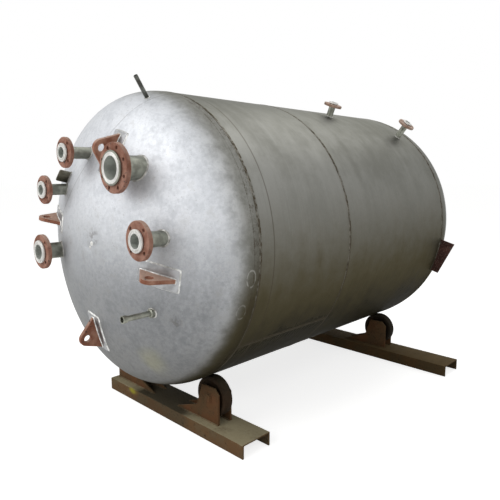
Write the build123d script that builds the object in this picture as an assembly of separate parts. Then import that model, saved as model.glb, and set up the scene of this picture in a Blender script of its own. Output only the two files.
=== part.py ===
"""Stainless steel storage vessel lying on two roller stands, made as separate named pieces.

Lengths are in millimetres. The pieces are drawn round the vessel's own axis: Y runs along it
from the seam of the nozzle end to the back, X points to the near side and Z points up. The
last step of each piece moves it into the shared frame, which stands on the floor.
"""
import os
from math import asin, cos, hypot, radians, sin, sqrt

from build123d import *

# Vessel: two rolled courses of plate closed by two dished heads.
shell_radius = 800
plate_thickness = 6
front_course_length = 727
rear_course_length = 1175
crown_radius_share = 1.8
knuckle_radius_share = 0.33
head_skirt = 20

# Space kept between two curved faces that lie on each other.
curved_gap = 0.3

# Flange sizes: each has its loose flange, the lap it bears on, its pipe and its bolt holes.
flange_sizes = {
    "four_inch": {"flange": 228.6, "lap": 157.2, "pipe": 114.3, "wall": 3.05,
                  "thick": 24, "circle": 190.5, "hole": 19, "holes": 8},
    "three_inch": {"flange": 190.5, "lap": 127, "pipe": 88.9, "wall": 3.05,
                   "thick": 22, "circle": 152.4, "hole": 19, "holes": 4},
    "two_half_inch": {"flange": 177.8, "lap": 104.8, "pipe": 73, "wall": 3.05,
                      "thick": 22, "circle": 139.7, "hole": 19, "holes": 4},
    "two_inch": {"flange": 152.4, "lap": 92.1, "pipe": 60.3, "wall": 2.77,
                 "thick": 19, "circle": 120.7, "hole": 19, "holes": 4},
    "small": {"flange": 117.5, "lap": 63.5, "pipe": 42.2, "wall": 2.77,
              "thick": 16, "circle": 88.9, "hole": 16, "holes": 4},
}
lap_thickness = 9
flange_setback = 4
flange_slack = 0.6
flange_edge = 2

# Nozzles of the front head: size, the axis as shares of the shell radius across and up, and how far
# the face stands back from the foremost ones.
head_nozzles = {
    "nozzle_1": ("four_inch", 0.405, 0.490, 22),
    "nozzle_2": ("two_inch", -0.114, 0.588, 0),
    "nozzle_3": ("two_inch", -0.430, 0.351, 0),
    "nozzle_4": ("three_inch", -0.520, -0.077, 0),
    "nozzle_5": ("two_half_inch", 0.624, 0.101, 22),
}
nozzle_beyond_crown = 73
neck_inside_reach = 18

# Nozzles of the rear course: angle above the near side, share of the course's length, height.
top_nozzles = {
    "top_nozzle_1": (68, 0.409, 95),
    "top_nozzle_2": (51.5, 0.886, 125),
}

# Small open stubs on the front head.
gauge_stub_x_share = 0.518
gauge_stub_z_share = -0.347
gauge_stub_diameter = 26.7
gauge_stub_wall = 2.9
gauge_boss_diameter = 44
gauge_boss_height = 16
gauge_socket_diameter = 36
gauge_socket_length = 24
vent_stub_radius_share = 0.95
vent_stub_angle = 76
vent_stub_diameter = 21.3
vent_stub_wall = 2.8
vent_stub_length = 125
vent_stub_tilt = 8

# Four ear lugs stand on curved pads on the front head, one in each quarter.
lug_angles = {"lug_near": -11, "lug_top": 75, "lug_far": 167, "lug_bottom": 260}
lug_circle_share = 0.605
lug_base = 200
lug_nose_radius = 42
lug_nose_height = 62
lug_hole_diameter = 40
lug_thickness = 20
pad_length = 225
pad_width = 105
pad_thickness = 6

# Plain plates welded edge-on: one to the front head, one to the back end's skirt.
cleat_angle = 132.7
cleat_circle_share = 0.586
cleat_width = 80
cleat_height = 62
cleat_thickness = 8
end_plate_angle = -16
end_plate_width = 240
end_plate_height = 95
end_plate_low_height = 50
end_plate_thickness = 10

# Roller stands: an upturned channel, two pairs of side plates, pins and rollers.
stand_inset = 90
roller_diameter = 220
roller_width = 55
roller_angle = 25
roller_recess_depth = 10
roller_rim = 20
roller_hub_diameter = 80
roller_side_gap = 10
roller_beam_gap = 22
side_plate_thickness = 12
near_plate_outer_share = 0.73
far_plate_outer_share = 1.05
side_plate_toe_share = 2.5
side_plate_knee_share = 0.86
side_plate_knee_drop_share = 0.59
side_plate_top_share = 0.59
side_plate_shoulder_share = 0.45
side_plate_corner_share = 0.32
pin_diameter = 40
pin_head_diameter = 62
pin_head_thickness = 9
pin_gap = 0.3
beam_width = 200
beam_height = 75
beam_web = 7
beam_flange = 10
beam_far_reach_share = 0.645
front_beam_near_reach_share = 0.87
rear_beam_near_reach_share = 1.20

half = 0.5
half_turn = 180
quarter_turn = 90

# Worked out from the sizes above.
crown_radius = crown_radius_share * shell_radius
knuckle_radius = knuckle_radius_share * shell_radius
crown_half_angle = asin((shell_radius - knuckle_radius) / (crown_radius - knuckle_radius))
crown_centre = (crown_radius - knuckle_radius) * cos(crown_half_angle) - head_skirt
crown_edge_radius = crown_radius * sin(crown_half_angle)
head_depth = crown_radius - crown_centre
shell_length = front_course_length + rear_course_length
nozzle_face = -head_depth - nozzle_beyond_crown
roller_radius = roller_diameter * half
roller_circle = shell_radius + roller_radius + curved_gap
roller_x = roller_circle * sin(radians(roller_angle))
roller_z = -roller_circle * cos(radians(roller_angle))
beam_top = roller_z - roller_radius - roller_beam_gap
floor = beam_top - beam_height
row_shift = (
    (shell_radius - rear_beam_near_reach_share * shell_radius) * half,
    (-nozzle_face - shell_length - head_depth) * half,
    -floor,
)


def save(name, piece):
    """Moves a finished piece into the shared frame and writes its file."""
    export_step(Pos(*row_shift) * piece, f"parts/{name}.step")


def tube(outer_radius, inner_radius, length):
    """A straight tube that starts at the origin and runs along Z."""
    seat = (Align.CENTER, Align.CENTER, Align.MIN)
    return Cylinder(outer_radius, length, align=seat) - Cylinder(inner_radius, length, align=seat)


def rod(radius, length):
    """A straight solid bar that starts at the origin and runs along Z."""
    return Cylinder(radius, length, align=(Align.CENTER, Align.CENTER, Align.MIN))


def dome_y(radius):
    """Where the front head's outside lies along Y at a distance from the axis."""
    if radius < crown_edge_radius:
        return crown_centre - sqrt(crown_radius ** 2 - radius ** 2)
    return -head_skirt - sqrt(knuckle_radius ** 2 - (radius - shell_radius + knuckle_radius) ** 2)


def dome_lean(radius):
    """How far the head's outward normal leans from the axis, in radians."""
    if radius < crown_edge_radius:
        return asin(radius / crown_radius)
    return asin((radius - shell_radius + knuckle_radius) / knuckle_radius)


def dome(grow):
    """The front head as a filled block, with its outside moved out by a distance."""
    crown = crown_radius + grow
    knuckle = knuckle_radius + grow
    knuckle_centre = shell_radius - knuckle_radius
    middle = crown_half_angle * half
    bend = (crown_half_angle + radians(quarter_turn)) * half
    apex = (0, crown_centre - crown)
    meeting = (crown * sin(crown_half_angle), crown_centre - crown * cos(crown_half_angle))
    rim = (shell_radius + grow, -head_skirt)
    outline = [
        ThreePointArc(apex, (crown * sin(middle), crown_centre - crown * cos(middle)), meeting),
        ThreePointArc(
            meeting, (knuckle_centre + knuckle * sin(bend), -head_skirt - knuckle * cos(bend)), rim
        ),
        Line(rim, (shell_radius + grow, 0)),
        Line((shell_radius + grow, 0), (0, 0)),
        Line((0, 0), apex),
    ]
    return revolve(make_face(outline), Axis.Y)


def on_head(radius, angle):
    """A frame on the front head: X climbs away from the axis, Y stands out of the plate."""
    lean = dome_lean(radius)
    across = cos(radians(angle))
    up = sin(radians(angle))
    climb = Vector(cos(lean) * across, sin(lean), cos(lean) * up)
    out = Vector(sin(lean) * across, -cos(lean), sin(lean) * up)
    spot = (radius * across, dome_y(radius), radius * up)
    return Plane(origin=spot, x_dir=climb, z_dir=climb.cross(out))


def neck_and_flange(size, length):
    """A lapped pipe and its loose flange, facing down at the origin and running along Z."""
    pipe = size["pipe"] * half
    bore = pipe - size["wall"]
    neck = tube(size["lap"] * half, bore, lap_thickness) + tube(pipe, bore, length)
    ring = tube(size["flange"] * half, pipe + flange_slack, size["thick"])
    ring = chamfer(ring.edges().filter_by(GeomType.CIRCLE).sort_by(SortBy.RADIUS)[-2:], flange_edge)
    first = half_turn / size["holes"]
    for spot in PolarLocations(size["circle"] * half, size["holes"], start_angle=first):
        ring -= spot * rod(size["hole"] * half, size["thick"])
    return neck, Pos(0, 0, lap_thickness + flange_setback) * ring


os.makedirs("parts", exist_ok=True)

front_head = dome(0) - dome(-plate_thickness)

# Head nozzles: level pipes through the front head.
for name, (size_name, x_share, z_share, set_back) in head_nozzles.items():
    size = flange_sizes[size_name]
    x = x_share * shell_radius
    z = z_share * shell_radius
    outer_edge = hypot(x, z) + size["pipe"] * half
    face = nozzle_face + set_back
    length = dome_y(outer_edge) + neck_inside_reach - face
    seat = Plane(origin=(x, face, z), x_dir=(1, 0, 0), z_dir=(0, 1, 0))
    neck, ring = neck_and_flange(size, length)
    front_head -= seat * rod(size["pipe"] * half + curved_gap, length)
    save(f"{name}_neck", seat * neck)
    save(f"{name}_flange", seat * ring)

# Gauge stub: a level pipe with a socket at its open end and a boss where it enters the head.
gauge_x = gauge_stub_x_share * shell_radius
gauge_z = gauge_stub_z_share * shell_radius
gauge_radius = gauge_stub_diameter * half
gauge_bore = gauge_radius - gauge_stub_wall
gauge_far_edge = dome_y(hypot(gauge_x, gauge_z) + gauge_boss_diameter * half)
gauge_length = gauge_far_edge + neck_inside_reach - nozzle_face
gauge_seat = Plane(origin=(gauge_x, nozzle_face, gauge_z), x_dir=(1, 0, 0), z_dir=(0, 1, 0))
gauge_boss_start = dome_y(hypot(gauge_x, gauge_z)) - gauge_boss_height - nozzle_face
gauge_boss = Pos(0, 0, gauge_boss_start) * tube(
    gauge_boss_diameter * half, gauge_bore, gauge_length - gauge_boss_start
)
front_head -= gauge_seat * rod(gauge_radius + curved_gap, gauge_length)
gauge_socket = tube(gauge_socket_diameter * half, gauge_bore, gauge_socket_length)
gauge_pipe = gauge_seat * (tube(gauge_radius, gauge_bore, gauge_length) + gauge_socket)
save("gauge_stub", gauge_pipe + (gauge_seat * gauge_boss - dome(curved_gap)))

# Vent stub: a short pipe end out of the top of the knuckle, leaning a little to the front.
vent_base = on_head(vent_stub_radius_share * shell_radius, vent_stub_angle)
vent_radius = vent_stub_diameter * half
vent_seat = Plane(origin=vent_base.origin, x_dir=vent_base.x_dir, z_dir=vent_base.y_dir)
vent_depth = Rot(0, -vent_stub_tilt, 0) * Pos(0, 0, -neck_inside_reach)
vent_reach = vent_stub_length + neck_inside_reach
front_head -= vent_seat * vent_depth * rod(vent_radius + curved_gap, vent_reach)
save("vent_stub", vent_seat * vent_depth * tube(vent_radius, vent_radius - vent_stub_wall, vent_reach))

save("front_head", front_head)
rear_head = Pos(0, shell_length, 0) * mirror(dome(0) - dome(-plate_thickness), about=Plane.XZ)
save("rear_head", rear_head)

# Shell courses: the rear one carries two small nozzles that point out from the axis.
along = Plane(origin=(0, 0, 0), x_dir=(1, 0, 0), z_dir=(0, 1, 0))
front_course = along * tube(shell_radius, shell_radius - plate_thickness, front_course_length)
rear_course = along * Pos(0, 0, front_course_length) * tube(
    shell_radius, shell_radius - plate_thickness, rear_course_length
)
for name, (angle, along_share, height) in top_nozzles.items():
    size = flange_sizes["small"]
    out = Vector(cos(radians(angle)), 0, sin(radians(angle)))
    station = front_course_length + along_share * rear_course_length
    face = out * (shell_radius + height) + Vector(0, station, 0)
    seat = Plane(origin=face, x_dir=(0, 1, 0), z_dir=-out)
    neck, ring = neck_and_flange(size, height + plate_thickness + neck_inside_reach)
    rear_course -= seat * rod(size["pipe"] * half + curved_gap, height + shell_radius * half)
    save(f"{name}_neck", seat * neck)
    save(f"{name}_flange", seat * ring)
save("front_course", front_course)
save("rear_course", rear_course)

# Ear lugs and their pads, cut to the head so that each lies on the one below.
pad_under = dome(curved_gap)
pad_over = dome(curved_gap + pad_thickness)
pad_layer = pad_over - pad_under
lug_under = dome(curved_gap + pad_thickness + curved_gap)
for name, angle in lug_angles.items():
    spot = on_head(lug_circle_share * shell_radius, angle)
    save(f"{name}_pad", pad_layer & (spot * Box(pad_length, pad_width, pad_width)))
    nose = Pos(0, pad_thickness + lug_nose_height) * Circle(lug_nose_radius)
    root = Line((-lug_base * half, -pad_thickness), (lug_base * half, -pad_thickness))
    ear = make_hull(nose.edges() + root.edges())
    ear -= Pos(0, pad_thickness + lug_nose_height) * Circle(lug_hole_diameter * half)
    save(name, extrude(spot * ear, lug_thickness * half, both=True) - lug_under)

# Cleat: a small plate standing square out of the head, broad side to the axis.
cleat_spot = on_head(cleat_circle_share * shell_radius, cleat_angle)
cleat = cleat_spot * Box(cleat_thickness, cleat_height + cleat_height, cleat_width)
save("cleat", cleat - pad_under)

# End plate: a plate standing edge-on round part of the back end's skirt, lower at its bottom.
end_low = -end_plate_width * half
end_high = end_plate_width * half
end_outline = Polyline(
    (shell_radius - end_plate_height, end_low), (shell_radius + end_plate_low_height, end_low),
    (shell_radius + end_plate_height, end_high), (shell_radius - end_plate_height, end_high), close=True,
)
end_face = Plane.XZ * Rot(0, 0, end_plate_angle) * make_face(end_outline)
end_plate = extrude(end_face, end_plate_thickness * half, both=True)
end_plate -= along * Pos(0, 0, -end_plate_thickness) * rod(
    shell_radius + curved_gap, end_plate_thickness + end_plate_thickness
)
save("end_plate", Pos(0, shell_length + head_skirt * half, 0) * end_plate)


def stand(name, middle, near_reach_share):
    """One roller stand under the vessel: its beam, side plates, pins and rollers."""
    far = -beam_far_reach_share * shell_radius
    near = near_reach_share * shell_radius
    outline = Polyline(
        (-beam_width * half, 0), (beam_width * half, 0), (beam_width * half, -beam_height),
        (beam_width * half - beam_flange, -beam_height), (beam_width * half - beam_flange, -beam_web),
        (beam_flange - beam_width * half, -beam_web), (beam_flange - beam_width * half, -beam_height),
        (-beam_width * half, -beam_height), close=True,
    )
    beam_end = Plane(origin=(far, middle, beam_top), x_dir=(0, 1, 0), z_dir=(1, 0, 0))
    save(f"{name}_beam", extrude(beam_end * make_face(outline), near - far))
    plate_inner = roller_width * half + roller_side_gap
    plate_outer = plate_inner + side_plate_thickness
    roller = rod(roller_radius, roller_width) - rod(pin_diameter * half + pin_gap, roller_width)
    recess = tube(roller_radius - roller_rim, roller_hub_diameter * half, roller_recess_depth)
    roller -= recess
    roller -= Pos(0, 0, roller_width - roller_recess_depth) * recess
    pin = rod(pin_diameter * half, plate_outer + plate_outer)
    pin_head = rod(pin_head_diameter * half, pin_head_thickness)
    pin += Pos(0, 0, -pin_head_thickness) * pin_head
    pin += Pos(0, 0, plate_outer + plate_outer) * pin_head
    sides = (("near", 1, near_plate_outer_share), ("far", -1, far_plate_outer_share))
    for side, hand, outer_share in sides:
        start = Plane(origin=(hand * roller_x, middle, roller_z), x_dir=(1, 0, 0), z_dir=(0, 1, 0))
        save(f"{name}_{side}_roller", start * Pos(0, 0, -roller_width * half) * roller)
        save(f"{name}_{side}_pin", start * Pos(0, 0, -plate_outer) * pin)
        top = -roller_radius * side_plate_top_share
        bottom = roller_radius + roller_beam_gap
        outer = hand * roller_radius * outer_share
        shoulder = hand * roller_radius * side_plate_shoulder_share
        cheek = make_face(Polyline(
            (-hand * roller_radius * side_plate_toe_share, bottom),
            (outer, bottom),
            (outer, -roller_radius * side_plate_corner_share),
            (shoulder, top),
            (-shoulder, top),
            (-hand * roller_radius * side_plate_knee_share, roller_radius * side_plate_knee_drop_share),
            close=True,
        ))
        cheek -= Circle(pin_diameter * half + pin_gap)
        plate = extrude(cheek, side_plate_thickness, dir=(0, 0, 1))
        save(f"{name}_{side}_bracket", Compound(children=[
            start * Pos(0, 0, plate_inner) * plate, start * Pos(0, 0, -plate_outer) * plate,
        ]))


stand("front", stand_inset, front_beam_near_reach_share)
stand("rear", shell_length - stand_inset, rear_beam_near_reach_share)
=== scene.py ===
import math

import bmesh
import bpy
from mathutils import Matrix, Vector, noise


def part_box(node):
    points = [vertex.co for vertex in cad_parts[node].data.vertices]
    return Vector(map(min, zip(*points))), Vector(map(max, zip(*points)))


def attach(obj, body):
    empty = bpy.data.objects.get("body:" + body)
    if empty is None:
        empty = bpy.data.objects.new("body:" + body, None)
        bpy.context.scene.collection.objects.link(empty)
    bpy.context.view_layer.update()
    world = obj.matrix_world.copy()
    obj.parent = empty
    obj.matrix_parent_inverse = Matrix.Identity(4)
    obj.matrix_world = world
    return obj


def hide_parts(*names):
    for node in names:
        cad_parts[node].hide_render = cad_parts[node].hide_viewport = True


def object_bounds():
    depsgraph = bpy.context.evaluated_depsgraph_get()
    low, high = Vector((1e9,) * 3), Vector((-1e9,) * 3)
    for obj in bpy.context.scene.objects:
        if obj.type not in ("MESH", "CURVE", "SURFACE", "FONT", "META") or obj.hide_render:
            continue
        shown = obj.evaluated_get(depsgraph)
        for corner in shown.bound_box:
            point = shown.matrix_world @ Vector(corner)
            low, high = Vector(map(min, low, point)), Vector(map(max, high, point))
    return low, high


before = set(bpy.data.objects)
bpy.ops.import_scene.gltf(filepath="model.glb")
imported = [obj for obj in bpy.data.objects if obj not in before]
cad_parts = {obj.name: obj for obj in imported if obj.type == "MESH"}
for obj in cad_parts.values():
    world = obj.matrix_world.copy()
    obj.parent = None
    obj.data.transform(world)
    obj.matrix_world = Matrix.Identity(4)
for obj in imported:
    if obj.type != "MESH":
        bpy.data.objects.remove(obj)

cad_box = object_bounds()
vessel = "vessel_and_stands"

# Front head: a dished end pressed from 6 mm stainless plate, with a wide crown and a tight knuckle.
# Pickling left it cloudy, with faint polishing marks that go round the axis. Its pale crown is partly
# that pickled tone and partly painted light on the lit face, and painted shade darkens it towards the
# bottom.
# Inspection left two chalk rings on the knuckle, beside the seam.
head_low, head_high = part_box("front_head")
axis_x = (head_low.x + head_high.x) / 2
axis_z = (head_low.z + head_high.z) / 2
shell_radius = (head_high.x - head_low.x) / 2
front_seam = head_high.y
mid_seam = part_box("front_course")[1].y
rear_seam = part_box("rear_course")[1].y
crown_radius = 1.44
crown_centre = Vector((axis_x, head_low.y + crown_radius, axis_z))
blank_seam_offset = 0.51
scribe_behind_seam = 0.099
scribe_ahead_of_seam = 0.036
scorch_behind_seam = 0.008
film_brown = (0.074, 0.063, 0.035, 1.0)
grime_black = (0.017, 0.0145, 0.007, 1.0)
haze_yellow = (0.44, 0.42, 0.19, 1.0)
smudge_grey = (0.13, 0.12, 0.10, 1.0)
scorch_brown = (0.058, 0.046, 0.031, 1.0)
chalk_white = (0.78, 0.78, 0.75, 1.0)


class Shade:
    """A socket in a material's node tree. Sums written on it become Math nodes."""

    def __init__(self, tree, socket=None):
        self.tree = tree
        self.socket = socket

    def node(self, kind, settings, sockets, out=0):
        """Adds a node, sets it up, then gives its sockets their values or links."""
        made = self.tree.nodes.new("ShaderNode" + kind)
        for setting, value in settings.items():
            setattr(made, setting, value)
        for place, value in sockets.items():
            if isinstance(value, Shade):
                self.tree.links.new(value.socket, made.inputs[place])
            else:
                made.inputs[place].default_value = value
        return Shade(self.tree, made.outputs[out] if made.outputs else None)

    def maths(self, operation, first, second=0.0):
        """Adds a Math node on two values, or on one where the sum needs no second."""
        return self.node("Math", {"operation": operation}, {0: first, 1: second})

    def __add__(self, other):
        return self.maths("ADD", self, other)

    def __radd__(self, other):
        return self.maths("ADD", other, self)

    def __sub__(self, other):
        return self.maths("SUBTRACT", self, other)

    def __rsub__(self, other):
        return self.maths("SUBTRACT", other, self)

    def __mul__(self, other):
        return self.maths("MULTIPLY", self, other)

    def __rmul__(self, other):
        return self.maths("MULTIPLY", other, self)

    def __pow__(self, other):
        return self.maths("POWER", self, other)

    def __abs__(self):
        return self.maths("ABSOLUTE", self)


def cloud(where, scale, detail):
    """Soft blotches, from 0 to 1, about so many to the metre."""
    return where.node("TexNoise", {}, {"Vector": where, "Scale": scale, "Detail": detail})


def rise(value, low, high):
    """Goes smoothly from 0 at the low value to 1 at the high one."""
    ease = {"interpolation_type": "SMOOTHSTEP"}
    return value.node("MapRange", ease, {0: value, 1: low, 2: high, 3: 0.0, 4: 1.0})


def blend(amount, first, second):
    """The first colour where the amount is 0 and the second where it is 1."""
    return amount.node("Mix", {"data_type": "RGBA"}, {0: amount, 6: first, 7: second}, 2)


def start_finish(name):
    """An empty material with its place on the object, as a vector and as its three lengths."""
    finish = bpy.data.materials.new(name)
    finish.use_nodes = True
    finish.node_tree.nodes.clear()
    where = Shade(finish.node_tree).node("TexCoord", {}, {}, "Object")
    return finish, where, [where.node("SeparateXYZ", {}, {0: where}, side) for side in "XYZ"]


def end_finish(where, height, depth, **sockets):
    """Closes a material with its surface, roughened by the height map to a depth in metres."""
    bump = where.node("Bump", {}, {"Strength": 1.0, "Distance": depth, "Height": height})
    named = {name.replace("_", " "): value for name, value in sockets.items()}
    surface = where.node("BsdfPrincipled", {}, {**named, "Normal": bump})
    where.node("OutputMaterial", {}, {"Surface": surface})


def stainless_plate(name, is_head, long_seam=None, chalk=(), scuffs=(), overspray=()):
    """Mill-finish plate: pale on a head's crown (pickled, and partly painted light), dull near the seams,
    filmed low down and painted darker there as painted shade.
    """
    finish, where, (x, y, z) = start_finish(name)
    across = x - axis_x
    up = z - axis_z
    radius = (across * across + up * up) ** 0.5
    past_seam = abs(y - (front_seam + rear_seam) / 2) - (rear_seam - front_seam) / 2
    clouds = cloud(where, 3.1, 5.0)
    smears = cloud(where, 14.0, 6.0)
    specks = cloud(where, 130.0, 4.0)
    turn = radius if is_head else y
    grain = where.node("CombineXYZ", {}, {0: across * 1.2, 1: turn * 95, 2: up * 1.2})
    runs = where.node("CombineXYZ", {}, {0: across * 0.9, 1: turn * 13, 2: up * 0.9})
    lines = cloud(grain, 1.0, 3.0)
    streaks = cloud(runs, 1.0, 4.0)
    spots = cloud(where, 48.0, 5.0)
    if is_head:
        wear = smears * 0.26 + spots * 0.24 + specks * 0.14 + clouds * 0.26
        wear = wear + streaks * 0.05 + lines * 0.05
    else:
        wear = smears * 0.16 + spots * 0.06 + specks * 0.05 + clouds * 0.41
        wear = wear + streaks * 0.21 + lines * 0.11
    worn = rise(wear, 0.39, 0.61)
    # The head's pale crown against the dull plate near the seams and on the shell is partly pickled tone
    # and partly painted light on the lit face.
    dull = blend(worn, (0.197, 0.197, 0.179, 1.0), (0.258, 0.258, 0.241, 1.0))
    pale = blend(worn, (0.55, 0.565, 0.59, 1.0), (0.68, 0.695, 0.72, 1.0))
    lip = rise(past_seam, 0.0, 0.08)
    crown = rise(past_seam + (smears - 0.5) * 0.05, 0.05, 0.20)
    colour = blend(crown, dull, pale)
    drop = (clouds - 0.5) * 0.22 + (smears - 0.5) * 0.2 + (streaks - 0.5) * 0.14 - up
    # Painted shade and side light: low on the head's crown the colour goes a darker grey, lighter towards
    # the far side.
    lit = worn * 0.5 + (1 - rise(across, -0.6, 0.6)) * 0.5
    dust = blend(lit, (0.222, 0.229, 0.237, 1.0), (0.39, 0.396, 0.403, 1.0))
    colour = blend(rise(drop, -0.28, 0.30) * crown, colour, dust)
    # Painted shade: towards the bottom the colour goes to a brown film and then near black, less so on
    # the crown.
    film = rise(drop - lip * 0.15 - crown * 0.43, -0.36, 0.30) * (1 - crown * 0.65)
    colour = blend(film, colour, film_brown)
    grime = rise(drop - lip * 0.15 - crown * 0.30, 0.18, 0.62)
    colour = blend(grime, colour, grime_black)
    for side, rise_up, width in overspray:
        dx, dz = across - side, up - rise_up
        near = (dx * dx + dz * dz) ** 0.5 + (clouds - 0.5) * 0.2
        colour = blend((1 - rise(near, width * 0.1, width)) * 0.22, colour, haze_yellow)
    heat = 0
    for seam in (front_seam, mid_seam, rear_seam):
        scorch = 1 - rise(abs(y - (seam + scorch_behind_seam)), 0.003, 0.008)
        heat = heat + scorch * (0.35 + 0.65 * rise(spots, 0.38, 0.56))
        heat = heat + (1 - rise(abs(y - seam), 0.0, 0.05)) * 0.2
    if long_seam is not None:
        out = across * math.cos(long_seam) + up * math.sin(long_seam)
        aside = across * math.sin(long_seam) - up * math.cos(long_seam)
        heat = heat + (1 - rise(abs(aside), 0.005, 0.017)) * rise(out, 0.1, 0.2)
    if is_head:
        smudge = rise(smears * 0.55 + spots * 0.45, 0.53, 0.66) * 0.2 + rise(specks, 0.62, 0.70) * 0.3
        colour = blend(smudge * crown, colour, smudge_grey)
        chord = (up - across - blank_seam_offset) * math.sqrt(0.5)
        heat = heat + (1 - rise(abs(chord), 0.001, 0.006)) * 0.45
        bloom = (1 - rise(past_seam, 0.02, 0.13)) * rise(smears * 0.5 + specks * 0.5, 0.49, 0.60)
        heat = heat + bloom * 0.5
    scribe = (1 - rise(abs(y - (front_seam + scribe_behind_seam)), 0.002, 0.006)) * 0.5
    scribe = scribe + (1 - rise(abs(y - (front_seam - scribe_ahead_of_seam)), 0.001, 0.005)) * 0.3
    marks = heat * rise(smears * 0.6 + specks * 0.4, 0.30, 0.52) * 0.8 + scribe
    for side, rise_up, width in scuffs:
        dx, dz = across - side, up - rise_up
        near = (dx * dx + dz * dz) ** 0.5 + (smears - 0.5) * 0.12
        marks = marks + (1 - rise(near, width * 0.2, width)) * rise(spots, 0.36, 0.6) * 0.42
    colour = blend(rise(marks, 0.0, 1.0), colour, scorch_brown)
    for angle, ahead, width, strength in chalk:
        ring_x = shell_radius * math.cos(math.radians(angle))
        ring_z = shell_radius * math.sin(math.radians(angle))
        dx, dy, dz = across - ring_x, y - (front_seam - ahead), (up - ring_z) * 0.62
        reach = (dx * dx + dy * dy + dz * dz) ** 0.5
        drawn = (1 - rise(abs(reach - width), 0.001, 0.004)) * rise(spots, 0.32, 0.62)
        colour = blend(drawn * strength, colour, chalk_white)
    plain_roughness = 0.72 if is_head else 0.5
    rough = plain_roughness - worn * 0.1 + film * 0.16 + (lines - 0.5) * 0.12
    dents = 0.35 if is_head else 0.1
    height = smears * dents + specks * (dents * 0.2) + lines * 0.14 + clouds * 1.2
    end_finish(
        where, height, 0.005, Base_Color=colour, Metallic=1.0 - film * 0.3, Roughness=rough,
        Specular_IOR_Level=0.2, Specular_Tint=(0.35, 0.35, 0.33, 1.0),
    )
    return finish


# Chalk rings: angle, distance ahead of the seam, radius and strength. Scuffs and yellow patches: place
# across and up from the axis, and reach.
chalk_rings = ((-7.4, 0.048, 0.025, 0.22), (-19.3, 0.074, 0.025, 0.13))
scuffed_spots = ((0.05, 0.055, 0.085), (0.53, -0.30, 0.06))
yellow_haze = ((0.31, -0.57, 0.11),)
front_finish = stainless_plate("pickled_front", True, None, chalk_rings, scuffed_spots, yellow_haze)
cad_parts["front_head"].data.materials.clear()
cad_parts["front_head"].data.materials.append(front_finish)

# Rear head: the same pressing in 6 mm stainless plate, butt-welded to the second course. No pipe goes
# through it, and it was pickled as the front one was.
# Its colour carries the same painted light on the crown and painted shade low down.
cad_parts["rear_head"].data.materials.clear()
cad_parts["rear_head"].data.materials.append(stainless_plate("pickled_rear", True))

# Shell courses: two plates rolled to a cylinder, each closed by one seam along its length. The
# first one's seam lies low on the near side, the second one's low on the far side.
# The plate is painted darker towards the bottom as painted shade.
course_seams = {"front_course": math.radians(-36), "rear_course": math.radians(218)}
for course, seam_angle in course_seams.items():
    rolled_plate = stainless_plate("rolled_plate_" + course, False, seam_angle)
    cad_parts[course].data.materials.clear()
    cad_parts[course].data.materials.append(rolled_plate)

# Seam welds: a flat cap of weld metal laid over each butt joint of the shell, in short overlapping
# pools. It was left as laid, stained brown, with paler crests.
cap_half_width = 0.005
cap_height = 0.0014
pool_length = 0.006
wander_scale = 45
wander_share = 0.25
ripple_scale = 210
ripple_share = 0.3
crease_angle = math.radians(38)
low_grime = (0.035, 0.03, 0.018, 1.0)


def weld_metal(name, stained, clean, grime):
    """Weld metal as laid: bright crests, stained hollows, and painted shade on what lies low on the
    vessel.
    """
    finish, where, (_, _, z) = start_finish(name)
    stain = cloud(where, 40.0, 4.0)
    ripple = cloud(where, 260.0, 2.0)
    colour = blend(rise(stain, 0.35, 0.65), stained, clean)
    colour = blend(rise(axis_z - z, -0.1, 0.4) * grime, colour, low_grime)
    end_finish(
        where, ripple, 0.0012, Base_Color=colour, Metallic=0.8, Roughness=0.62 - stain * 0.15,
        Specular_IOR_Level=0.2, Specular_Tint=(0.5, 0.5, 0.47, 1.0),
    )
    return finish


def settle(shape, name, finishes, nodes=(), body=vessel):
    """Makes a finished piece of a mesh: shaded smooth between its creases, painted and riding."""
    for face in shape.faces:
        face.smooth = True
    for edge in shape.edges:
        edge.smooth = len(edge.link_faces) == 2 and edge.calc_face_angle(0) < crease_angle
    data = bpy.data.meshes.new(name)
    shape.to_mesh(data)
    shape.free()
    piece = bpy.data.objects.new(name, data)
    bpy.context.collection.objects.link(piece)
    for finish in finishes:
        data.materials.append(finish)
    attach(piece, body)
    if nodes:
        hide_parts(*nodes)
    return piece


def chain(shape, points, closed):
    """A line of edges through a few points, ready to be spun or pulled into a surface."""
    spots = [shape.verts.new(point) for point in points]
    pairs = list(zip(spots, spots[1:])) + ([(spots[-1], spots[0])] if closed else [])
    return spots + [shape.edges.new(pair) for pair in pairs]


def pulled(shape, blank, way):
    """Pulls a flat blank straight into a solid of the same outline."""
    grown = bmesh.ops.extrude_face_region(shape, geom=[blank])["geom"]
    fresh = [piece for piece in grown if isinstance(piece, bmesh.types.BMVert)]
    bmesh.ops.translate(shape, verts=fresh, vec=way)
    bmesh.ops.recalc_face_normals(shape, faces=shape.faces)


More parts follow.
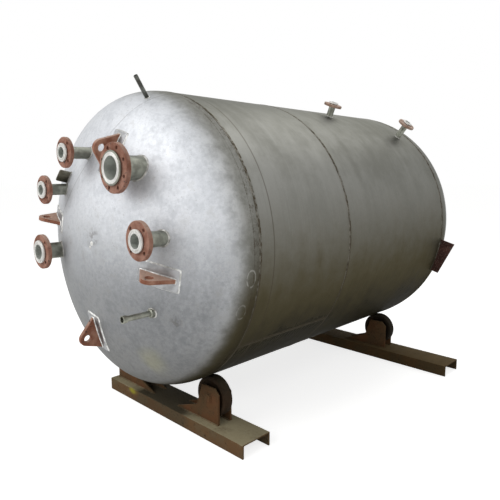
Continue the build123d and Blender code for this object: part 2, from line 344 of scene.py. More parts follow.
# The seam welds are painted darker low on the vessel as painted shade.
seam_weld = weld_metal("stained_weld", (0.062, 0.054, 0.04, 1.0), (0.18, 0.17, 0.145, 1.0), 0.9)
cap_section = ((-1, -0.5), (-0.62, 0.62), (0, 1), (0.62, 0.62), (1, -0.5))
for seam_name, seam in (("front_seam", front_seam), ("mid_seam", mid_seam), ("rear_seam", rear_seam)):
    cap = bmesh.new()
    section = chain(cap, [
        (axis_x + shell_radius + up * cap_height, seam + side * cap_half_width, axis_z)
        for side, up in cap_section
    ], True)
    pools = int(2 * math.pi * shell_radius / pool_length)
    bmesh.ops.spin(
        cap, geom=section, cent=(axis_x, seam, axis_z), axis=(0, 1, 0), angle=2 * math.pi,
        steps=pools, use_merge=True,
    )
    for vert in cap.verts:
        vert.co.y += noise.noise(vert.co * wander_scale) * cap_half_width * wander_share
        lift = noise.noise(vert.co * ripple_scale) * cap_height * ripple_share
        vert.co += Vector((vert.co.x - axis_x, 0, vert.co.z - axis_z)).normalized() * lift
        vert.co.x = max(vert.co.x, cad_box[0][0])
    bmesh.ops.recalc_face_normals(cap, faces=cap.faces)
    settle(cap, seam_name + "_weld", [seam_weld])

for course, seam_angle in course_seams.items():
    low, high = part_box(course)
    out = Vector((math.cos(seam_angle), 0, math.sin(seam_angle)))
    side = Vector((-out.z, 0, out.x))
    foot = Vector((axis_x, low.y + cap_half_width, axis_z)) + out * shell_radius
    length = high.y - low.y - 2 * cap_half_width
    cap = bmesh.new()
    start = cap.faces.new([
        cap.verts.new(foot + side * (a * cap_half_width) + out * (up * cap_height))
        for a, up in cap_section
    ])
    pulled(cap, start, Vector((0, length, 0)))
    long_edges = [edge for edge in cap.edges if edge.calc_length() > length / 2]
    bmesh.ops.subdivide_edges(cap, edges=long_edges, cuts=int(length / pool_length), use_grid_fill=True)
    for vert in cap.verts:
        vert.co += side * (noise.noise(vert.co * wander_scale) * cap_half_width * wander_share)
        vert.co += out * (noise.noise(vert.co * ripple_scale) * cap_height * ripple_share)
    settle(cap, course + "_seam_weld", [seam_weld])

# Nozzles: stainless pipes through the front head and the rear course. Each is lapped over at its end,
# the lap is faced with fine grooves, and a loose mild-steel flange in red primer sits behind it.
# Sizes: flange radius and thickness, lap radius, pipe radius and wall, bolt circle, hole, holes.
nozzle_sizes = {
    "four_inch": (0.1143, 0.024, 0.0786, 0.05715, 0.00305, 0.09525, 0.0095, 8),
    "three_inch": (0.09525, 0.022, 0.0635, 0.04445, 0.00305, 0.0762, 0.0095, 4),
    "two_half_inch": (0.0889, 0.022, 0.0524, 0.0365, 0.00305, 0.06985, 0.0095, 4),
    "two_inch": (0.0762, 0.019, 0.04605, 0.03015, 0.00277, 0.06035, 0.0095, 4),
    "small": (0.05875, 0.016, 0.03175, 0.0211, 0.00277, 0.04445, 0.008, 4),
}
lap_thickness = 0.009
flange_setback = 0.004
flange_slack = 0.0006
flange_chamfer = 0.002
grooves = 7
groove_depth = 0.0006
groove_margin = 0.006
lap_edge = 0.002
lap_back_edge = 0.001
lap_root_width = 0.004
lap_root_rise = 0.003
top_neck_inside = 0.024
fillet_throat = 0.0055
small_fillet_throat = 0.004
fillet_ripple_scale = 150
fillet_ripple_share = 0.15
face_slack = 0.0005
primer_dust = (0.58, 0.43, 0.35, 1.0)
bare_steel = (0.085, 0.07, 0.062, 1.0)
sharp_angle = math.radians(32)
nozzles = {
    "nozzle_1": "four_inch", "nozzle_2": "two_inch", "nozzle_3": "two_inch", "nozzle_4": "three_inch",
    "nozzle_5": "two_half_inch", "top_nozzle_1": "small", "top_nozzle_2": "small",
}
# The first nozzle's lap has lost its shine in a band at its rim. The others are bright to the edge.
dull_rims = {"nozzle_1": 0.0076}
bright_to_the_edge = -0.001
top_angles = {"top_nozzle_1": math.radians(68), "top_nozzle_2": math.radians(51.5)}
top_heights = {"top_nozzle_1": 0.095, "top_nozzle_2": 0.125}


def dull_pipe(name, pale, dull, metal):
    """Pickled pipe: grey-green, with drawing marks and a thin uneven film."""
    finish, where, _ = start_finish(name)
    film = cloud(where, 22.0, 5.0)
    scratch = cloud(where, 160.0, 3.0)
    colour = blend(rise(film, 0.36, 0.66), dull, pale)
    height = scratch * 0.4 + film
    end_finish(where, height, 0.0012, Base_Color=colour, Metallic=metal, Roughness=0.58 - film * 0.22)
    return finish


def red_primer(name, fresh, chalky, dusting):
    """Red-oxide primer, brushed on thin: lighter on top with dust and painted top light, chalky in
    patches, chipped to dark steel.
    """
    finish, where, _ = start_finish(name)
    up = where.node("SeparateXYZ", {}, {0: where.node("NewGeometry", {}, {}, "Normal")}, "Z")
    patches = cloud(where, 17.0, 5.0)
    brush = cloud(where, 120.0, 4.0)
    chips = cloud(where, 46.0, 6.0)
    colour = blend(rise(patches, 0.36, 0.66), fresh, chalky)
    # Dust and painted top light: surfaces that face up go lighter.
    dust = rise(up + (patches - 0.5), 0.15, 0.9) * dusting + rise(brush, 0.52, 0.75) * 0.25
    colour = blend(dust, colour, primer_dust)
    bare = rise(chips, 0.635, 0.675)
    colour = blend(bare, colour, bare_steel)
    height = brush * 0.5 + patches * 0.3 - bare * 0.5
    end_finish(
        where, height, 0.0012, Base_Color=colour, Metallic=bare * 0.5, Roughness=0.86 - bare * 0.3,
        Specular_IOR_Level=0.2,
    )
    return finish


def eased(shape, width, segments=2):
    """Takes the sharpness off every edge of a piece."""
    sharp = [e for e in shape.edges if len(e.link_faces) == 2 and e.calc_face_angle(0) > sharp_angle]
    bmesh.ops.bevel(
        shape, geom=sharp, offset=width, segments=segments, profile=0.5, affect="EDGES", material=-1,
        clamp_overlap=True,
    )
    return shape


def turned(outline, foot, along, steps):
    """A ring or pipe turned about its own axis from a closed outline of radius and distance."""
    shape = bmesh.new()
    side = along.orthogonal().normalized()
    section = chain(shape, [foot + side * radius + along * place for radius, place in outline], True)
    bmesh.ops.spin(
        shape, geom=section, cent=foot, axis=along, angle=2 * math.pi, steps=steps, use_merge=True,
    )
    bmesh.ops.recalc_face_normals(shape, faces=shape.faces)
    return shape


def bead_section(radius, wide, high):
    """The closed outline of a rounded run of weld that is turned at a radius."""
    turns = [step * math.pi / 4 for step in range(8)]
    return [(radius + wide * math.cos(turn), high * math.sin(turn)) for turn in turns]


def bored(shape, drills):
    """Cuts the drills' shapes out of a piece that is still in the making."""
    stock = []
    for part in (shape, drills):
        data = bpy.data.meshes.new("stock")
        part.to_mesh(data)
        part.free()
        stock.append(bpy.data.objects.new("stock", data))
        bpy.context.collection.objects.link(stock[-1])
    cut = stock[0].modifiers.new("bore", "BOOLEAN")
    cut.operation = "DIFFERENCE"
    cut.solver = "EXACT"
    cut.object = stock[1]
    result = bmesh.new()
    result.from_object(stock[0], bpy.context.evaluated_depsgraph_get())
    for piece in stock:
        data = piece.data
        bpy.data.objects.remove(piece)
        bpy.data.meshes.remove(data)
    return result


def drill(drills, spot, along, radius, depth):
    """Adds one straight drill, centred on a spot."""
    place = Matrix.Translation(spot) @ along.to_track_quat("Z", "Y").to_matrix().to_4x4()
    bmesh.ops.create_cone(
        drills, cap_ends=True, segments=32, radius1=radius, radius2=radius, depth=depth, matrix=place,
    )


def on_surface(name, spot):
    """How far a point beside a nozzle has to move inwards to lie on the plate round it."""
    arm = Vector((spot.x - axis_x, 0, spot.z - axis_z))
    if name in top_angles:
        out = Vector((math.cos(top_angles[name]), 0, math.sin(top_angles[name])))
        aside = arm - out * arm.dot(out)
        return arm.dot(out) - math.sqrt(shell_radius ** 2 - aside.length_squared)
    return crown_centre.y - math.sqrt(crown_radius ** 2 - arm.length_squared) - spot.y


pipe_finish = dull_pipe("pickled_pipe", (0.305, 0.312, 0.265, 1.0), (0.178, 0.18, 0.15, 1.0), 1.0)
bore_finish = dull_pipe("filmed_bore", (0.64, 0.67, 0.62, 1.0), (0.45, 0.47, 0.43, 1.0), 0.0)
lap_finish = dull_pipe("faced_lap", (0.86, 0.855, 0.82, 1.0), (0.68, 0.67, 0.635, 1.0), 0.15)
fillet_weld = weld_metal("brushed_weld", (0.26, 0.255, 0.23, 1.0), (0.58, 0.575, 0.55, 1.0), 0.0)
primer = red_primer("red_primer", (0.245, 0.107, 0.071, 1.0), (0.41, 0.222, 0.164, 1.0), 0.5)
faded_primer = red_primer("faded_primer", (0.34, 0.215, 0.155, 1.0), (0.55, 0.42, 0.35, 1.0), 0.8)
for name, size in nozzles.items():
    flange, thick, lap, pipe, wall, circle, hole, holes = nozzle_sizes[size]
    low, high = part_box(name + "_neck")
    middle = (low + high) / 2
    bore = pipe - wall
    if name in top_angles:
        along = Vector((-math.cos(top_angles[name]), 0, -math.sin(top_angles[name])))
        reach = shell_radius + top_heights[name]
        face = Vector((axis_x, middle.y, axis_z)) - along * reach
        length = top_heights[name] + top_neck_inside
    else:
        along = Vector((0, 1, 0))
        face = Vector((middle.x, low.y, middle.z))
        length = high.y - low.y
    pitch = (lap - bore - 2 * groove_margin) / grooves
    outline = [(bore, 0.0)]
    for groove in range(grooves):
        start = bore + groove_margin + groove * pitch
        outline += [(start, 0.0), (start + pitch * 0.5, groove_depth)]
    outline += [
        (lap - lap_edge, 0.0), (lap, lap_edge), (lap, lap_thickness - lap_back_edge),
        (lap - lap_back_edge, lap_thickness), (pipe + lap_root_width, lap_thickness),
        (pipe, lap_thickness + lap_root_rise), (pipe, length), (bore, length),
    ]
    neck = turned(outline, face, along, 72)
    bright = lap - dull_rims.get(name, bright_to_the_edge)
    for part in neck.faces:
        centre = part.calc_center_median() - face
        is_lap = centre.dot(along) < lap_thickness + face_slack
        away = (centre - along * centre.dot(along)).length
        part.material_index = 2 if away < bore + face_slack else int(is_lap and away < bright)
    neck_finishes = [pipe_finish, lap_finish, bore_finish]
    settle(neck, name + "_pipe", neck_finishes, [name + "_neck"])

    back = face + along * (lap_thickness + flange_setback)
    slack = pipe + flange_slack
    ring = turned([
        (slack, 0.0), (flange - flange_chamfer, 0.0), (flange, flange_chamfer),
        (flange, thick - flange_chamfer), (flange - flange_chamfer, thick), (slack, thick),
    ], back, along, 80)
    side = Vector((0, 1, 0)) if name in top_angles else Vector((1, 0, 0))
    up = along.cross(side)
    drills = bmesh.new()
    for turn in range(holes):
        angle = math.pi * (2 * turn + 1) / holes
        spot = back + along * (thick / 2) + (side * math.cos(angle) + up * math.sin(angle)) * circle
        drill(drills, spot, along, hole, thick * 2)
    paint = faded_primer if name in top_angles else primer
    settle(bored(ring, drills), name + "_loose_flange", [paint], [name + "_flange"])

    throat = small_fillet_throat if name in top_angles else fillet_throat
    fillet = turned(bead_section(pipe, throat * 0.9, throat), face, along, 120)
    for vert in fillet.verts:
        vert.co += along * on_surface(name, vert.co - along * (vert.co - face).dot(along))
        vert.co += along * (noise.noise(vert.co * fillet_ripple_scale) * throat * fillet_ripple_share)
    settle(fillet, name + "_weld", [fillet_weld])

# Open stubs: a gauge pipe low on the near side of the head, with a socket at its end and a boss welded
# round its root, and a vent pipe leaning forward out of the top of the knuckle.
gauge_low, gauge_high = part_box("gauge_stub")
gauge_radius = 0.01335
gauge_bore = 0.01045
boss_radius = 0.022
boss_edge = 0.003
boss_root = 0.017
boss_face = 0.016
boss_shoulder = 0.013
socket_radius = 0.018
socket_length = 0.024
socket_depth = 0.012
socket_step = 0.003
socket_edge = 0.001
socket_taper = 0.002
stub_fillet = 0.004
gauge_foot = Vector(((gauge_low.x + gauge_high.x) / 2, gauge_low.y, (gauge_low.z + gauge_high.z) / 2))
gauge_length = gauge_high.y - gauge_low.y
root = on_surface("gauge_stub", gauge_foot)
gauge = turned([
    (gauge_bore + socket_step, 0.0), (socket_radius - socket_edge, 0.0), (socket_radius, socket_edge),
    (socket_radius, socket_length - socket_taper), (gauge_radius, socket_length),
    (gauge_radius, root - boss_root), (boss_radius - boss_edge, root - boss_face),
    (boss_radius, root - boss_shoulder), (boss_radius, gauge_length), (gauge_bore, gauge_length),
    (gauge_bore, socket_depth), (gauge_bore + socket_step, socket_depth),
], gauge_foot, Vector((0, 1, 0)), 48)
settle(gauge, "gauge_pipe", [pipe_finish], ["gauge_stub"])
fillet = turned(bead_section(boss_radius, stub_fillet, stub_fillet), gauge_foot, Vector((0, 1, 0)), 60)
for vert in fillet.verts:
    flat = Vector((vert.co.x, gauge_foot.y, vert.co.z))
    vert.co.y += on_surface("gauge_stub", flat)
settle(fillet, "gauge_weld", [fillet_weld])

vent_angle = math.radians(76)
vent_circle = 0.95 * shell_radius
vent_radius = 0.01065
vent_bore = 0.00785
vent_length = 0.125
vent_inside = 0.018
vent_edge_depth = 0.001
vent_edge_width = 0.0008
vent_forward_lean = math.radians(8)
collar_radius = 0.0115
knuckle_radius = 0.264
head_skirt = 0.02
vent_lean = math.asin((vent_circle - shell_radius + knuckle_radius) / knuckle_radius)
pipe_lean = vent_lean - vent_forward_lean
vent_up = Vector((math.cos(vent_angle), 0, math.sin(vent_angle)))
vent_out = vent_up * math.sin(pipe_lean) - Vector((0, math.cos(pipe_lean), 0))
vent_root = Vector((
    axis_x + vent_circle * math.cos(vent_angle),
    front_seam - head_skirt - knuckle_radius * math.cos(vent_lean),
    axis_z + vent_circle * math.sin(vent_angle),
))
vent = turned([
    (vent_bore, -vent_inside), (vent_radius, -vent_inside), (vent_radius, vent_length - vent_edge_depth),
    (vent_radius - vent_edge_width, vent_length), (vent_bore, vent_length),
], vent_root, vent_out, 40)
vent_finish = dull_pipe("dark_pipe", (0.15, 0.155, 0.14, 1.0), (0.06, 0.06, 0.052, 1.0), 1.0)
settle(vent, "vent_pipe", [vent_finish], ["vent_stub"])
collar = turned(bead_section(collar_radius, stub_fillet, stub_fillet), vent_root, vent_out, 48)
settle(collar, "vent_weld", [fillet_weld])

# Lifting ears: flame-cut mild-steel plates in red primer with a round eye, standing edge-on on curved
# stainless pads. Pads and ears are fillet-welded all round.
ears = {"lug_near": -11, "lug_top": 75, "lug_far": 167, "lug_bottom": 260}
ear_circle = 0.484
ear_base = 0.200
ear_nose = 0.042
ear_height = 0.062
ear_eye = 0.020
ear_thickness = 0.020
pad_length = 0.225
pad_width = 0.105
pad_thickness = 0.006
pad_corner_share = 0.975
pad_edge_drop = 0.0012
pad_weld_leg = 0.006
pad_weld_drop = 0.0066
pad_end_share = 0.47
pad_side_share = 0.46
toe_wander_scale = 120
toe_wander_share = 0.35
ear_sink = 0.004
ear_edge = 0.0015
ear_weld = 0.0045
ear_weld_inset = 0.002
weld_pitch = 0.005
bead_swell = 0.3
bead_swell_scale = 110
four_corners = ((-1, -1), (1, -1), (1, 1), (-1, 1))


def on_crown(circle, angle):
    """A spot on the crown with the directions up the dish, out of it and across."""
    lean = math.asin(circle / crown_radius)
    turn = math.radians(angle)
    out = Vector((math.sin(lean) * math.cos(turn), -math.cos(lean), math.sin(lean) * math.sin(turn)))
    climb = Vector((math.cos(lean) * math.cos(turn), math.sin(lean), math.cos(lean) * math.sin(turn)))
    return crown_centre + out * crown_radius, climb, out, climb.cross(out)


def drawn_to_crown(spot, height):
    """The point on the crown, or so far above it, that is straight under a spot."""
    return crown_centre + (spot - crown_centre).normalized() * (crown_radius + height)


def laid_bead(shape, path, thickness, closed):
    """Lays a rounded run of weld along a path, as uneven as a hand-held torch leaves it."""
    run = bpy.data.curves.new("run", "CURVE")
    run.dimensions = "3D"
    run.bevel_depth = thickness
    run.bevel_resolution = 1
    run.use_fill_caps = True
    line = run.splines.new("POLY")
    line.points.add(len(path) - 1)
    for point, spot in zip(line.points, path):
        point.co = (*spot, 1.0)
        point.radius = 1 + bead_swell * noise.noise(spot * bead_swell_scale)
    line.use_cyclic_u = closed
    holder = bpy.data.objects.new("run", run)
    data = bpy.data.meshes.new_from_object(holder)
    shape.from_mesh(data)
    bpy.data.objects.remove(holder)
    bpy.data.curves.remove(run)
    bpy.data.meshes.remove(data)


def between(corners, pitch, closed):
    """Points a small step apart along straight runs from corner to corner."""
    path = []
    ends = list(zip(corners, corners[1:])) + ([(corners[-1], corners[0])] if closed else [])
    for start, end in ends:
        count = max(2, int((end - start).length / pitch))
        path += [start.lerp(end, step / count) for step in range(count)]
    return path if closed else path + [corners[-1]]


dusty_primer = red_primer("dusty_primer", (0.29, 0.116, 0.07, 1.0), (0.47, 0.245, 0.167, 1.0), 0.62)
pad_finish = dull_pipe("pad_plate", (0.38, 0.385, 0.395, 1.0), (0.27, 0.272, 0.275, 1.0), 1.0)
pad_weld = weld_metal("bright_weld", (0.46, 0.46, 0.44, 1.0), (0.82, 0.82, 0.80, 1.0), 0.0)
for name, angle in ears.items():
    spot, climb, out, across = on_crown(ear_circle, angle)
    pad = bmesh.new()
    bmesh.ops.create_grid(pad, x_segments=18, y_segments=8, size=0.5)
    corners = [v for v in pad.verts if len(v.link_edges) == 2]
    for vert in corners:
        vert.co *= pad_corner_share
    for vert in pad.verts:
        flat = spot + climb * (vert.co.x * pad_length) + across * (vert.co.y * pad_width)
        vert.co = drawn_to_crown(flat, pad_thickness)
    rim = [edge for edge in pad.edges if edge.is_boundary]
    for grow, fall in ((0.0, pad_edge_drop), (pad_weld_leg, pad_weld_drop)):
        grown = bmesh.ops.extrude_edge_only(pad, edges=rim)["geom"]
        for vert in (g for g in grown if isinstance(g, bmesh.types.BMVert)):
            up_pad = (vert.co - spot).dot(climb)
            over_pad = (vert.co - spot).dot(across)
            step = climb * math.copysign(grow, up_pad) * (abs(up_pad) > pad_length * pad_end_share)
            step += across * math.copysign(grow, over_pad) * (abs(over_pad) > pad_width * pad_side_share)
            step += step.normalized() * noise.noise(vert.co * toe_wander_scale) * grow * toe_wander_share
            vert.co = drawn_to_crown(vert.co + step, pad_thickness - fall)
        rim = [g for g in grown if isinstance(g, bmesh.types.BMEdge) and g.is_boundary]
        for part in (g for g in grown if isinstance(g, bmesh.types.BMFace)):
            part.material_index = 1
    bmesh.ops.holes_fill(pad, edges=rim, sides=len(rim))
    pad.normal_update()
    bmesh.ops.recalc_face_normals(pad, faces=pad.faces)
    settle(pad, name + "_curved_pad", [pad_finish, pad_weld], [name + "_pad"])

    ear = bmesh.new()
    nose = spot + out * (pad_thickness + ear_height)
    half_base = ear_base / 2
    drop = ear_height + ear_sink
    lean = math.atan2(-drop, half_base) + math.acos(ear_nose / math.hypot(half_base, drop))
    first = ear.verts.new(nose + climb * (ear_nose * math.cos(lean)) + out * (ear_nose * math.sin(lean)))
    bmesh.ops.spin(ear, geom=[first], cent=nose, axis=across, angle=math.pi - 2 * lean, steps=24)
    arc = sorted(ear.verts, key=lambda v: -(v.co - nose).dot(climb))
    foot = [ear.verts.new(nose - out * drop + climb * (side * half_base)) for side in (-1, 1)]
    blank = ear.faces.new(arc + foot)
    pulled(ear, blank, across * ear_thickness)
    bmesh.ops.translate(ear, verts=ear.verts, vec=across * (-ear_thickness / 2))
    drills = bmesh.new()
    drill(drills, nose, across, ear_eye, ear_thickness * 2)
    ear = bored(ear, drills)
    bmesh.ops.remove_doubles(ear, verts=ear.verts, dist=1e-6)
    settle(eased(ear, ear_edge), name + "_ear", [dusty_primer], [name])

    run = bmesh.new()
    corners = [
        spot + climb * (a * (half_base - ear_weld_inset)) + across * (b * ear_thickness / 2)
        for a, b in four_corners
    ]
    path = [drawn_to_crown(point, pad_thickness) for point in between(corners, weld_pitch, True)]
    laid_bead(run, path, ear_weld, True)
    settle(run, name + "_foot_weld", [pad_weld])

# Cleat: a small square of stainless plate with two rounded corners, standing edge-on on the far upper
# side of the head. It is fillet-welded all round its foot.
cleat_circle = 0.4688
cleat_angle = 132.7
cleat_size = Vector((0.008, 0.062, 0.08))
cleat_corner = 0.009
cleat_edge = 0.001
cleat_weld = 0.004
cleat_spot, climb, out, across = on_crown(cleat_circle, cleat_angle)
cleat = bmesh.new()
bmesh.ops.create_cube(cleat, size=1)
for vert in cleat.verts:
    stretch = (vert.co.x * cleat_size.x, (vert.co.y + 0.5) * cleat_size.y, vert.co.z * cleat_size.z)
    vert.co = cleat_spot + climb * stretch[0] + out * stretch[1] + across * stretch[2]
cleat.normal_update()
bmesh.ops.recalc_face_normals(cleat, faces=cleat.faces)
corner_edges = [
    e for e in cleat.edges if abs((e.verts[0].co - e.verts[1].co).dot(climb)) > cleat_size.x * 0.9
]
top_corners = [e for e in corner_edges if (e.verts[0].co - cleat_spot).dot(out) > cleat_size.y / 2]
bmesh.ops.bevel(
    cleat, geom=top_corners, offset=cleat_corner, segments=4, profile=0.5, affect="EDGES", material=-1,
)
# The cleat's stainless is painted dark grey-olive as painted shade.
cleat_finish = dull_pipe("cleat_plate", (0.20, 0.19, 0.15, 1.0), (0.085, 0.078, 0.058, 1.0), 1.0)
settle(eased(cleat, cleat_edge), "cleat_plate", [cleat_finish], ["cleat"])
run = bmesh.new()
corners = [
    cleat_spot + climb * (a * cleat_size.x / 2) + across * (b * cleat_size.z / 2)
    for a, b in four_corners
]
path = [drawn_to_crown(point, 0.0) for point in between(corners, weld_pitch, True)]
laid_bead(run, path, cleat_weld, True)
settle(run, "cleat_weld", [fillet_weld])

# Tack marks: two beads of weld metal left near the middle of the head, as a brace leaves them when it
# is knocked off. Each is given by its place across and up from the axis and its radius.
tacks = ((0.040, 0.022, 0.013), (0.024, 0.002, 0.008))
for number, (x, z, bead) in enumerate(tacks, 1):
    root, _, out, _ = on_crown(math.hypot(x, z), math.degrees(math.atan2(z, x)))
    tack = turned([
        (0.0, bead * 0.45), (bead * 0.55, bead * 0.36), (bead * 0.9, bead * 0.12), (bead, -bead * 0.3),
        (0.0, -bead * 0.3),
    ], root, out, 24)
    bmesh.ops.remove_doubles(tack, verts=tack.verts, dist=1e-6)
    settle(tack, f"tack_mark_{number}", [lap_finish])

# End plate: a strip of mild steel in red primer, painted near black as painted shade, standing edge-on
# round the near side of the back head's skirt. Its inner edge follows the skirt, and a weld runs along
# both faces.
plate_angle = math.radians(-16)
plate_width = 0.24
plate_height = 0.095
plate_low_height = 0.05
plate_edge = 0.0012
rim_gap = 0.0005
rim_weld = 0.004
rim_weld_lift = 0.001
rim_weld_steps = 24
plate_low, plate_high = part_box("end_plate")
out = Vector((math.cos(plate_angle), 0, math.sin(plate_angle)))
along_rim = Vector((-out.z, 0, out.x))
hub = Vector((axis_x, plate_low.y, axis_z))
sweep = math.asin(plate_width / 2 / shell_radius)
end_plate = bmesh.new()
first = end_plate.verts.new(
    hub + (out * math.cos(sweep) - along_rim * math.sin(sweep)) * (shell_radius + rim_gap)
)
bmesh.ops.spin(end_plate, geom=[first], cent=hub, axis=(0, -1, 0), angle=2 * sweep, steps=16)
inner = sorted(end_plate.verts, key=lambda v: (v.co - hub).dot(along_rim))
outer = [
    end_plate.verts.new(hub + out * (shell_radius + height) + along_rim * (side * plate_width / 2))
    for side, height in ((1, plate_height), (-1, plate_low_height))
]
blank = end_plate.faces.new(inner + outer)
pulled(end_plate, blank, Vector((0, plate_high.y - plate_low.y, 0)))
# The primer is painted near black as painted shade.
old_primer = red_primer("old_primer", (0.05, 0.022, 0.017, 1.0), (0.10, 0.046, 0.036, 1.0), 0.15)
settle(eased(end_plate, plate_edge), "end_plate_strip", [old_primer], ["end_plate"])
run = bmesh.new()
for face_y in (plate_low.y, plate_high.y):
    centre = Vector((hub.x, face_y, hub.z))
    turns = [sweep * (step / rim_weld_steps - 1) for step in range(2 * rim_weld_steps + 1)]
    arc = [
        centre + (out * math.cos(turn) + along_rim * math.sin(turn)) * (shell_radius + rim_weld_lift)
        for turn in turns
    ]
    laid_bead(run, arc, rim_weld, False)
settle(run, "end_plate_weld", [seam_weld])

# Roller stands: each has an upturned rolled channel on the floor, two pairs of flame-cut side plates
# welded to it, and two cast rollers turning on headed pins. All of it is rusty and dusty, and the front
# channel's top is painted dark under the vessel as painted shadow.
roller_radius = 0.110
roller_half = 0.0275
roller_bore = 0.0203
roller_hub = 0.040
roller_rim = 0.090
recess_depth = 0.010
recess_slope = 0.003
roller_edge = 0.0022
plate_gap = 0.010
side_thickness = 0.012
side_plate_edge = 0.0016
beam_gap = 0.022
beam_web = 0.007
beam_flange = 0.010
beam_edge = 0.0035
pin_radius = 0.020
pin_edge = 0.0008
washer_radius = 0.031
washer_thickness = 0.003
stub_radius = 0.013
stub_length = 0.009
stub_edge = 0.002
nut_radius = 0.025
nut_height = 0.0055
stand_weld = 0.005
stand_weld_pitch = 0.006
mill_scale = (0.035, 0.025, 0.016, 1.0)
soaked_brown = (0.034, 0.026, 0.016, 1.0)
splash_yellow = (0.46, 0.42, 0.04, 1.0)


def rusty_steel(name, dusty, brown, rust, splash=None, soaked=0.0):
    """Weathered steel: brown rust in patches, dust on top, perhaps a painted shadow under the vessel and
    a paint splash.
    """
    finish, where, (x, y, z) = start_finish(name)
    up = where.node("SeparateXYZ", {}, {0: where.node("NewGeometry", {}, {}, "Normal")}, "Z")
    patches = cloud(where, 9.0, 6.0)
    scale = cloud(where, 70.0, 5.0)
    grit = cloud(where, 330.0, 3.0)
    colour = blend(rise(patches, 0.38, 0.62), brown, rust)
    colour = blend(rise(scale, 0.56, 0.72) * 0.6, colour, mill_scale)
    dust = rise(up + (patches - 0.5) * 1.4 + (scale - 0.5) * 0.8, 0.2, 1.1) * 0.8
    colour = blend(dust, colour, dusty)
    # Painted shadow: the channel's top goes dark brown under the vessel.
    if soaked:
        under = 1 - rise(abs(x - axis_x) + (patches - 0.5) * 0.3, soaked * 0.55, soaked)
        colour = blend(under * (0.35 + 0.5 * rise(up, 0.3, 0.8)), colour, soaked_brown)
    if splash is not None:
        dx, dy, dz = (x - splash.x) * 0.42, y - splash.y, z - splash.z
        away = (dx * dx + dy * dy + dz * dz) ** 0.5 + (patches - 0.5) * 0.05
        colour = blend((1 - rise(away, 0.010, 0.030)) * 0.7, colour, splash_yellow)
    height = scale * 0.7 + grit * 0.3
    end_finish(
        where, height, 0.0025, Base_Color=colour, Roughness=0.9 - scale * 0.12, Specular_IOR_Level=0.12,
    )
    return finish


beam_low, beam_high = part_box("front_beam")
splash_across = 0.27
splash_drop = 0.015
splash_spot = Vector((axis_x - splash_across, beam_low.y, beam_high.z - splash_drop))
soaked_reach = 0.34
channel_finishes = {
    "front": rusty_steel(
        "dusty_channel", (0.42, 0.375, 0.24, 1.0), (0.15, 0.106, 0.058, 1.0), (0.16, 0.09, 0.042, 1.0),
        splash_spot, soaked_reach,
    ),
    "rear": rusty_steel(
        "brown_channel", (0.155, 0.11, 0.052, 1.0), (0.08, 0.054, 0.025, 1.0), (0.095, 0.054, 0.022, 1.0),
    ),
}
bracket_finish = rusty_steel(
    "rusty_plate", (0.18, 0.13, 0.07, 1.0), (0.12, 0.073, 0.036, 1.0), (0.16, 0.075, 0.034, 1.0),
)
roller_finish = rusty_steel(
    "rusty_roller", (0.05, 0.04, 0.026, 1.0), (0.022, 0.017, 0.011, 1.0), (0.042, 0.025, 0.014, 1.0),
)
# The side plates' outline, as shares of the roller's radius. The far ones reach further out.
toe_share = 2.5
knee_share = 0.86
knee_drop_share = 0.59
top_share = 0.59
shoulder_share = 0.45
corner_share = 0.32
weld_toe_share = 2.42
weld_edge_share = 0.03
stand_sides = (("near", 1, 0.73), ("far", -1, 1.05))
roller_side = [
    (roller_bore, roller_half), (roller_hub, roller_half),
    (roller_hub + recess_slope, roller_half - recess_depth),
    (roller_rim - recess_slope, roller_half - recess_depth),
    (roller_rim, roller_half), (roller_radius, roller_half),
]
shaft = roller_half + plate_gap + side_thickness
pin_end = [
    (0.0, shaft + stub_length), (stub_radius - stub_edge, shaft + stub_length),
    (stub_radius, shaft + stub_length - stub_edge), (stub_radius, shaft + washer_thickness),
    (washer_radius, shaft + washer_thickness), (washer_radius, shaft), (pin_radius, shaft),
]


def both_ends(outline):
    """A turned piece's whole outline from the half at its far end."""
    return [(radius, -place) for radius, place in outline] + outline[::-1]


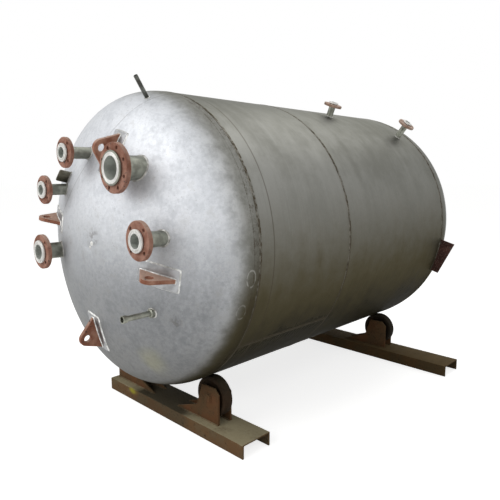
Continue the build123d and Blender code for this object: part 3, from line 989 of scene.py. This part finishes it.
for end in ("front", "rear"):
    low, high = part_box(end + "_beam")
    beam = bmesh.new()
    width = high.y - low.y
    height = high.z - low.z
    section = [
        (0, height), (width, height), (width, 0), (width - beam_flange, 0),
        (width - beam_flange, height - beam_web), (beam_flange, height - beam_web),
        (beam_flange, 0), (0, 0),
    ]
    web = beam.faces.new([beam.verts.new((low.x, low.y + a, low.z + b)) for a, b in section])
    pulled(beam, web, Vector((high.x - low.x, 0, 0)))
    long_edges = [e for e in beam.edges if e.calc_length() > (high.x - low.x) / 2]
    bmesh.ops.bevel(
        beam, geom=long_edges, offset=beam_edge, segments=3, profile=0.5, affect="EDGES", material=-1,
    )
    settle(beam, end + "_channel", [channel_finishes[end]], [end + "_beam"])

    runs = bmesh.new()
    for side, hand, edge in stand_sides:
        node = f"{end}_{side}"
        roller_low, roller_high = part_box(node + "_roller")
        hub = (roller_low + roller_high) / 2
        roller = turned(both_ends(roller_side), hub, Vector((0, 1, 0)), 96)
        settle(
            eased(roller, roller_edge), node + "_cast_roller", [roller_finish],
            [node + "_roller"], node + "_roller",
        )

        r = roller_radius
        foot = -(r + beam_gap)
        outline = [
            (-toe_share * r, foot), (edge * r, foot), (edge * r, corner_share * r),
            (shoulder_share * r, top_share * r), (-shoulder_share * r, top_share * r),
            (-knee_share * r, -knee_drop_share * r),
        ]
        plates = bmesh.new()
        for start in (-roller_half - plate_gap - side_thickness, roller_half + plate_gap):
            corners = [plates.verts.new(hub + Vector((hand * a, start, b))) for a, b in outline]
            pulled(plates, plates.faces.new(corners), Vector((0, side_thickness, 0)))
            for face_y in (start, start + side_thickness):
                weld_ends = (-weld_toe_share, edge - weld_edge_share)
                ends = [hub + Vector((hand * a * r, face_y, foot)) for a in weld_ends]
                laid_bead(runs, between(ends, stand_weld_pitch, False), stand_weld, False)
        settle(
            eased(plates, side_plate_edge), node + "_side_plates", [bracket_finish],
            [node + "_bracket"],
        )

        pin = turned(both_ends(pin_end), hub, Vector((0, 1, 0)), 40)
        bmesh.ops.remove_doubles(pin, verts=pin.verts, dist=1e-6)
        for place in (-shaft - nut_height, shaft + nut_height):
            nut = Matrix.Translation(hub + Vector((0, place, 0))) @ Matrix.Rotation(math.pi / 2, 4, "X")
            bmesh.ops.create_cone(
                pin, cap_ends=True, segments=6, radius1=nut_radius, radius2=nut_radius, depth=nut_height,
                matrix=nut,
            )
        settle(
            eased(pin, pin_edge, 1), node + "_headed_pin", [bracket_finish],
            [node + "_pin"],
        )
    settle(runs, end + "_stand_welds", [channel_finishes[end]])

# Camera: stands off the near corner of the nozzle end, a little above the axis, looking slightly
# down on the vessel.
camera = bpy.data.objects.new("camera", bpy.data.cameras.new("camera"))
camera.data.sensor_width = 36
camera.data.lens = 36.92
camera.data.shift_x = 0.009
camera.data.shift_y = -0.0094
bpy.context.collection.objects.link(camera)
camera_across = 2.3568
camera_ahead = 1.6768
camera_above = 0.372
yaw = math.radians(44.54)
pitch = math.radians(8.08)
look = Vector((-math.sin(yaw) * math.cos(pitch), math.cos(yaw) * math.cos(pitch), -math.sin(pitch)))
stand_point = Vector((axis_x + camera_across, front_seam - camera_ahead, axis_z + camera_above))
turned_to_vessel = look.to_track_quat("-Z", "Y").to_matrix().to_4x4()
camera.matrix_world = Matrix.Translation(stand_point) @ turned_to_vessel
bpy.context.scene.camera = camera

# Studio: a pale floor without an edge, a white surround, one broad soft light off the nozzle end
# and two weaker ones.
floor_glow = 0.74
surround_light = 0.32


def shown_to_the_eye(where):
    """1 or more for a ray that shows the backdrop, straight or by way of metal or glass."""
    straight = where.node("LightPath", {}, {}, "Is Camera Ray")
    mirrored = where.node("LightPath", {}, {}, "Is Glossy Ray")
    through = where.node("LightPath", {}, {}, "Is Transmission Ray")
    return straight + mirrored + through


floor_shape = bmesh.new()
bmesh.ops.create_grid(floor_shape, x_segments=1, y_segments=1, size=60)
floor_data = bpy.data.meshes.new("floor")
floor_shape.to_mesh(floor_data)
floor_shape.free()
floor = bpy.data.objects.new("floor", floor_data)
bpy.context.collection.objects.link(floor)
floor_finish, where, _ = start_finish("pale_floor")
matt = where.node("BsdfDiffuse", {}, {"Color": (0.8, 0.8, 0.79, 1.0)})
strength = shown_to_the_eye(where) * floor_glow
glow = where.node("Emission", {}, {"Color": (1.0, 1.0, 1.0, 1.0), "Strength": strength})
where.node("OutputMaterial", {}, {"Surface": where.node("AddShader", {}, {0: matt, 1: glow})})
floor_data.materials.append(floor_finish)

world = bpy.data.worlds.new("white_surround")
bpy.context.scene.world = world
world.use_nodes = True
world.node_tree.nodes.clear()
sky = Shade(world.node_tree)
seen = rise(shown_to_the_eye(sky), 0.0, 1.0)
strength = surround_light + seen * (1 - surround_light)
light = sky.node("Background", {}, {"Color": (1.0, 1.0, 1.0, 1.0), "Strength": strength})
sky.node("OutputWorld", {}, {"Surface": light})

lamps = (
    ("front_light", (-1.0, -5.3, 3.9), (5.6, 4.0), 148),
    ("side_light", (4.6, -1.0, 4.2), (2.6, 2.6), 40),
    ("top_light", (-0.2, 2.4, 5.0), (3.4, 4.4), 72),
)
lamp_target = Vector((axis_x, -0.2, 0.9))
for name, spot, (width, depth), power in lamps:
    lamp = bpy.data.objects.new(name, bpy.data.lights.new(name, "AREA"))
    lamp.data.shape = "RECTANGLE"
    lamp.data.size = width
    lamp.data.size_y = depth
    lamp.data.energy = power
    aim = lamp_target - Vector(spot)
    lamp.matrix_world = Matrix.Translation(spot) @ aim.to_track_quat("-Z", "Y").to_matrix().to_4x4()
    bpy.context.collection.objects.link(lamp)

bpy.context.scene.view_settings.view_transform = "Standard"
